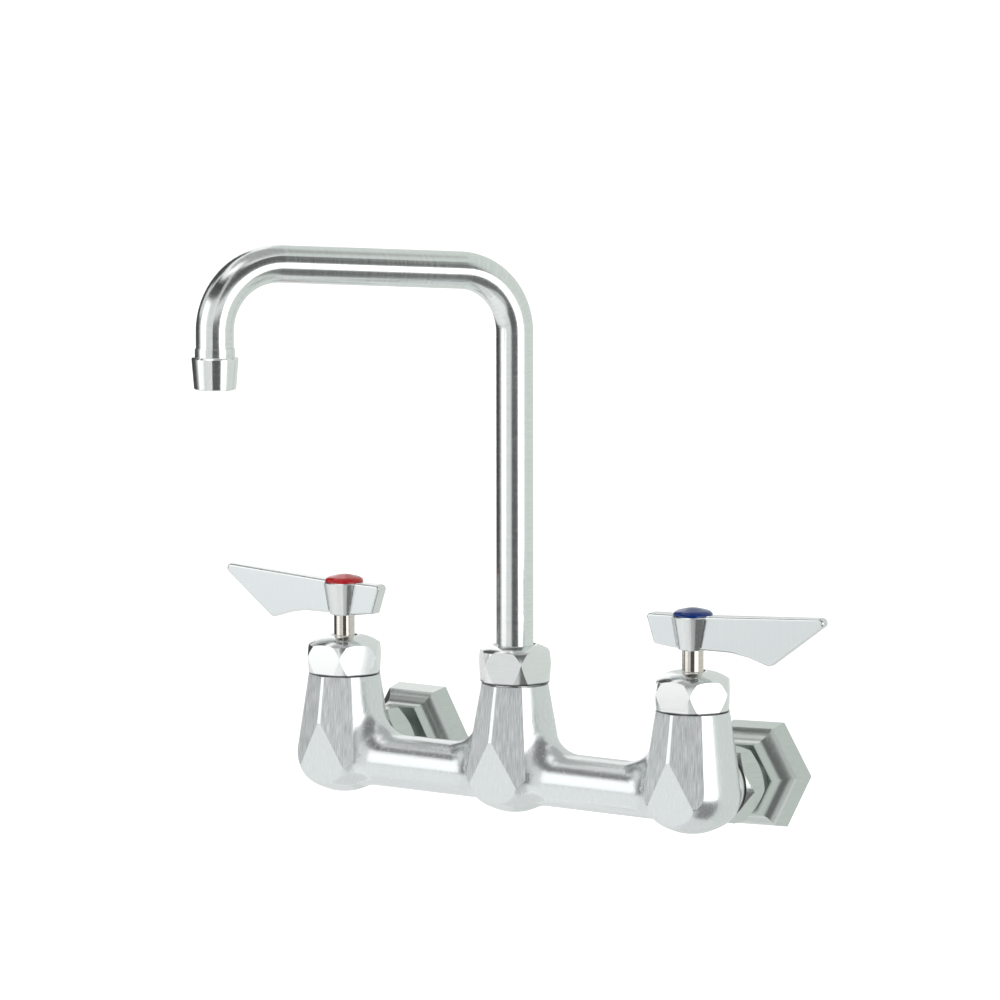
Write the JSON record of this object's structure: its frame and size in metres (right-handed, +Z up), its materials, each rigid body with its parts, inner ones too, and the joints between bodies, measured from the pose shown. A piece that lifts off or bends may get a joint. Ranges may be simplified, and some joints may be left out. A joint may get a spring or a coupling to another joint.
{
  "type": "commercial wall faucet",
  "caption": "Wall-mounted two-handle faucet: bell-shaped valve columns on a cross bar, lever handles, hexagonal wall flanges and a tall swinging double-bend spout with an aerator.",
  "frame": {"origin": "on the wall plane, midway between the two inlets, at the height of their axes", "axes": "+X along the bar towards the cold side (the user's right), +Y into the wall, +Z up"},
  "size_m": [0.3443, 0.2048, 0.2794],
  "materials": {
    "plated_body": "brushed chrome plate over cast brass",
    "plated_nut": "polished chrome plate",
    "plated_handle": "satin chrome plate",
    "plated_fitting": "chrome plate",
    "spout_tube": "brushed tube",
    "nickel": "polished nickel",
    "stainless": "satin",
    "brass": "turned",
    "rubber": "matt",
    "fibre": "matt fibre",
    "ceramic": "lapped ceramic",
    "white_plastic": "acetal",
    "grey_plastic": "moulded",
    "red_button": "gloss",
    "blue_button": "gloss"
  },
  "bodies": {
    "fixture": {"faucet_body": "plated_body", "spout_nut": "plated_nut", "spout_slip_washer": "white_plastic", "spout_thrust_washer": "white_plastic", "hot_bonnet_nut": "plated_nut", "hot_cartridge_housing": "brass", "hot_cartridge_o_ring": "rubber", "hot_cartridge_seal": "rubber", "hot_fixed_disc": "ceramic", "hot_wall_flange": "plated_fitting", "hot_coupling_nut": "plated_fitting", "hot_union_ring": "stainless", "hot_union_washer": "fibre", "cold_bonnet_nut": "plated_nut", "cold_cartridge_housing": "brass", "cold_cartridge_o_ring": "rubber", "cold_cartridge_seal": "rubber", "cold_fixed_disc": "ceramic", "cold_wall_flange": "plated_fitting", "cold_coupling_nut": "plated_fitting", "cold_union_ring": "stainless", "cold_union_washer": "fibre"},
    "spout": {"spout_tube": "spout_tube", "spout_sleeve": "brass", "spout_o_rings": "rubber", "aerator_shell": "plated_fitting", "aerator_insert": "grey_plastic", "aerator_screen": "stainless", "aerator_washer": "rubber"},
    "hot_lever": {"hot_handle": "plated_handle", "hot_handle_screw": "stainless", "hot_index_button": "red_button", "hot_stem": "nickel", "hot_stem_washer": "white_plastic", "hot_stem_o_rings": "rubber", "hot_moving_disc": "ceramic"},
    "cold_lever": {"cold_handle": "plated_handle", "cold_handle_screw": "stainless", "cold_index_button": "blue_button", "cold_stem": "nickel", "cold_stem_washer": "white_plastic", "cold_stem_o_rings": "rubber", "cold_moving_disc": "ceramic"}
  },
  "joints": [
    {"name": "spout_swivel", "type": "hinge", "parent": "fixture", "child": "spout", "pos_m": [0, -0.0606, 0.05], "axis": [0, 0, 1], "range_deg": [-79, 137]},
    {"name": "hot_handle_turn", "type": "hinge", "parent": "fixture", "child": "hot_lever", "pos_m": [-0.1016, -0.0606, 0.06], "axis": [0, 0, 1], "range_deg": [0, 90]},
    {"name": "cold_handle_turn", "type": "hinge", "parent": "fixture", "child": "cold_lever", "pos_m": [0.1016, -0.0606, 0.06], "axis": [0, 0, 1], "range_deg": [-90, 0]}
  ]
}
